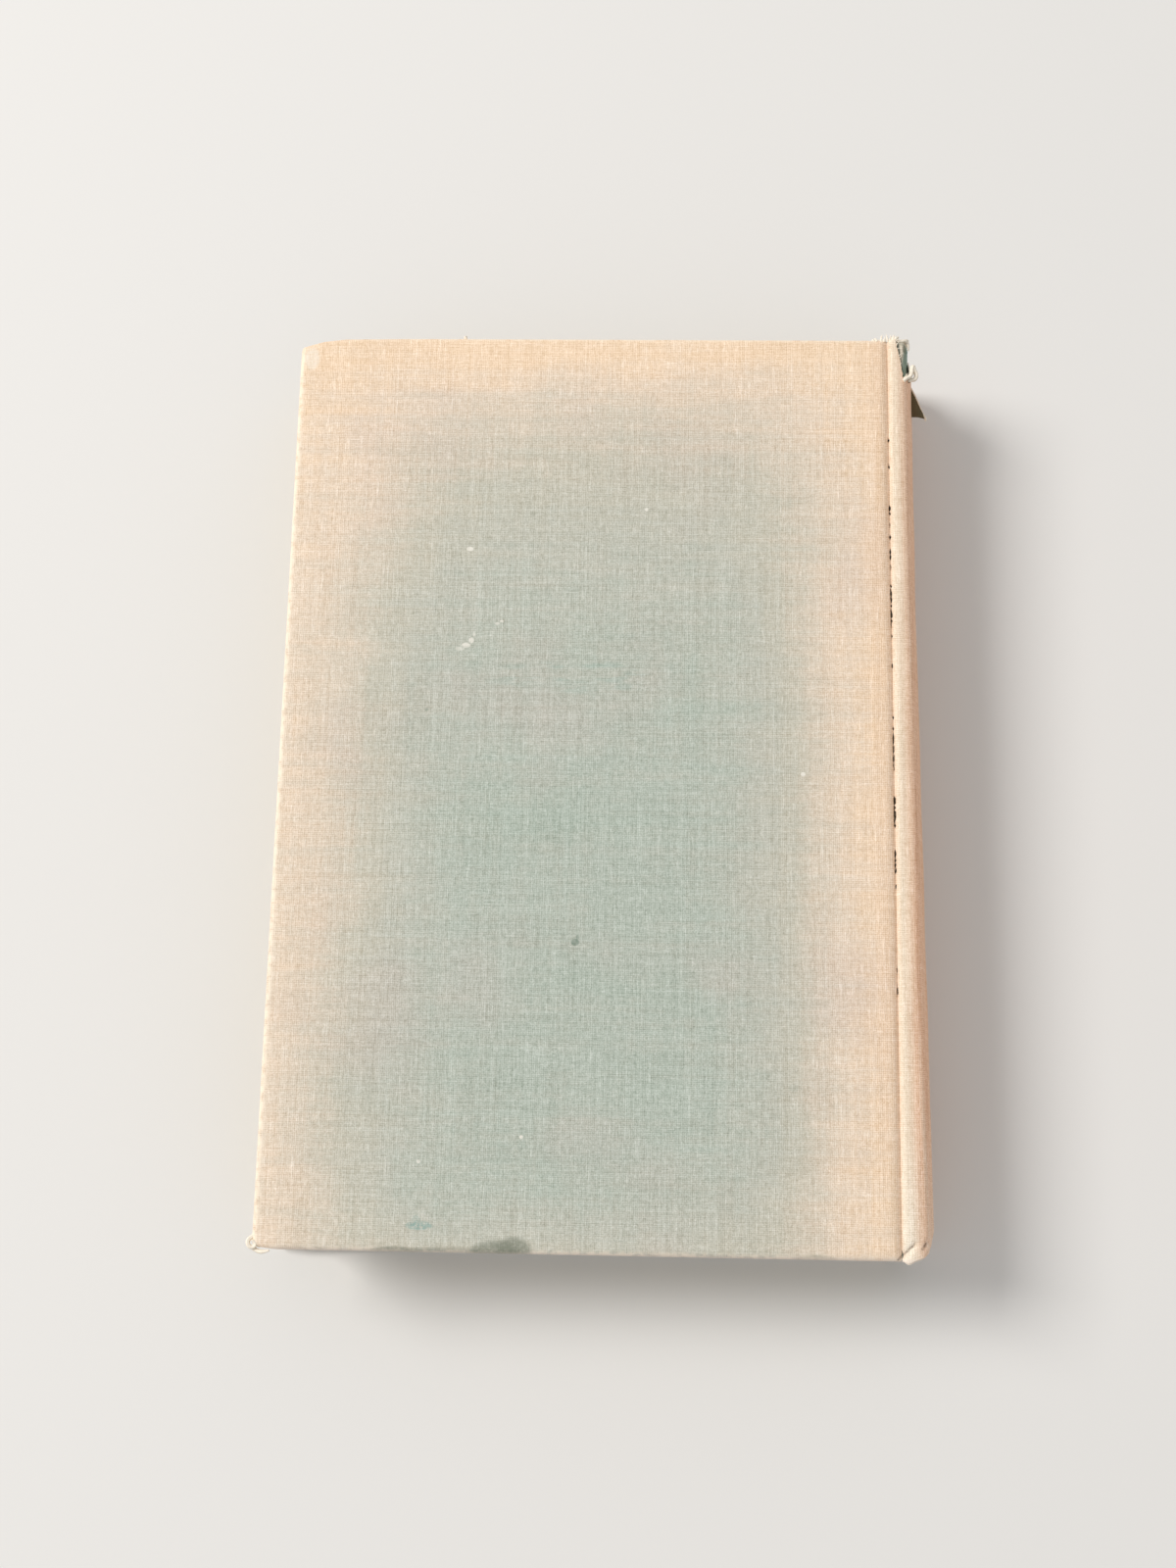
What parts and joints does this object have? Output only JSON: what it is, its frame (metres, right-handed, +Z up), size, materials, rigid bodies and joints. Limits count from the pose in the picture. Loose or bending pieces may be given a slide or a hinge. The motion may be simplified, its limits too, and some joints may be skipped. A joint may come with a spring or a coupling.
{
  "type": "hardback book",
  "caption": "Old cloth-covered hardback book lying shut on its front cover, with a rounded spine, two hinged covers and a worn, faded, torn covering.",
  "frame": {"origin": "middle of the face that the shut book lies on, which is the outside of its front cover", "axes": "+Z up out of the back cover, +Y along the spine to the head of the book, +X across the covers to the spine"},
  "size_m": [0.1453, 0.21, 0.029],
  "materials": {
    "cover_cloth": "plain-weave book cloth, sized, faded and worn, matt",
    "board": "grey strawboard, pressed, matt",
    "spine_card": "thin brown card, matt",
    "endpaper": "cream wove paper, slightly browned, matt",
    "page_paper": "browned edges of many leaves, matt",
    "mull": "open starched gauze",
    "lining_paper": "brown kraft paper, matt",
    "band_cotton": "plain off-white cotton over a cord"
  },
  "bodies": {
    "book_block": {"text_block": "page_paper", "front_flyleaf": "endpaper", "back_flyleaf": "endpaper", "spine_mull": "mull", "spine_lining": "lining_paper", "head_band": "band_cotton", "tail_band": "band_cotton", "spine_inlay": "spine_card", "spine_cloth": "cover_cloth"},
    "front_cover": {"front_board": "board", "front_cover_cloth": "cover_cloth", "front_mull_flap": "mull", "front_pastedown": "endpaper"},
    "back_cover": {"back_board": "board", "back_cover_cloth": "cover_cloth", "back_mull_flap": "mull", "back_pastedown": "endpaper"}
  },
  "joints": [
    {"name": "back_cover_hinge", "type": "hinge", "parent": "book_block", "child": "back_cover", "pos_m": [0.06485, 0, 0.0292], "axis": [0, 1, 0], "range_deg": [0, 180]},
    {"name": "front_cover_hinge", "type": "hinge", "parent": "book_block", "child": "front_cover", "pos_m": [0.06485, 0, -0.0002], "axis": [0, -1, 0], "range_deg": [0, 180]}
  ]
}
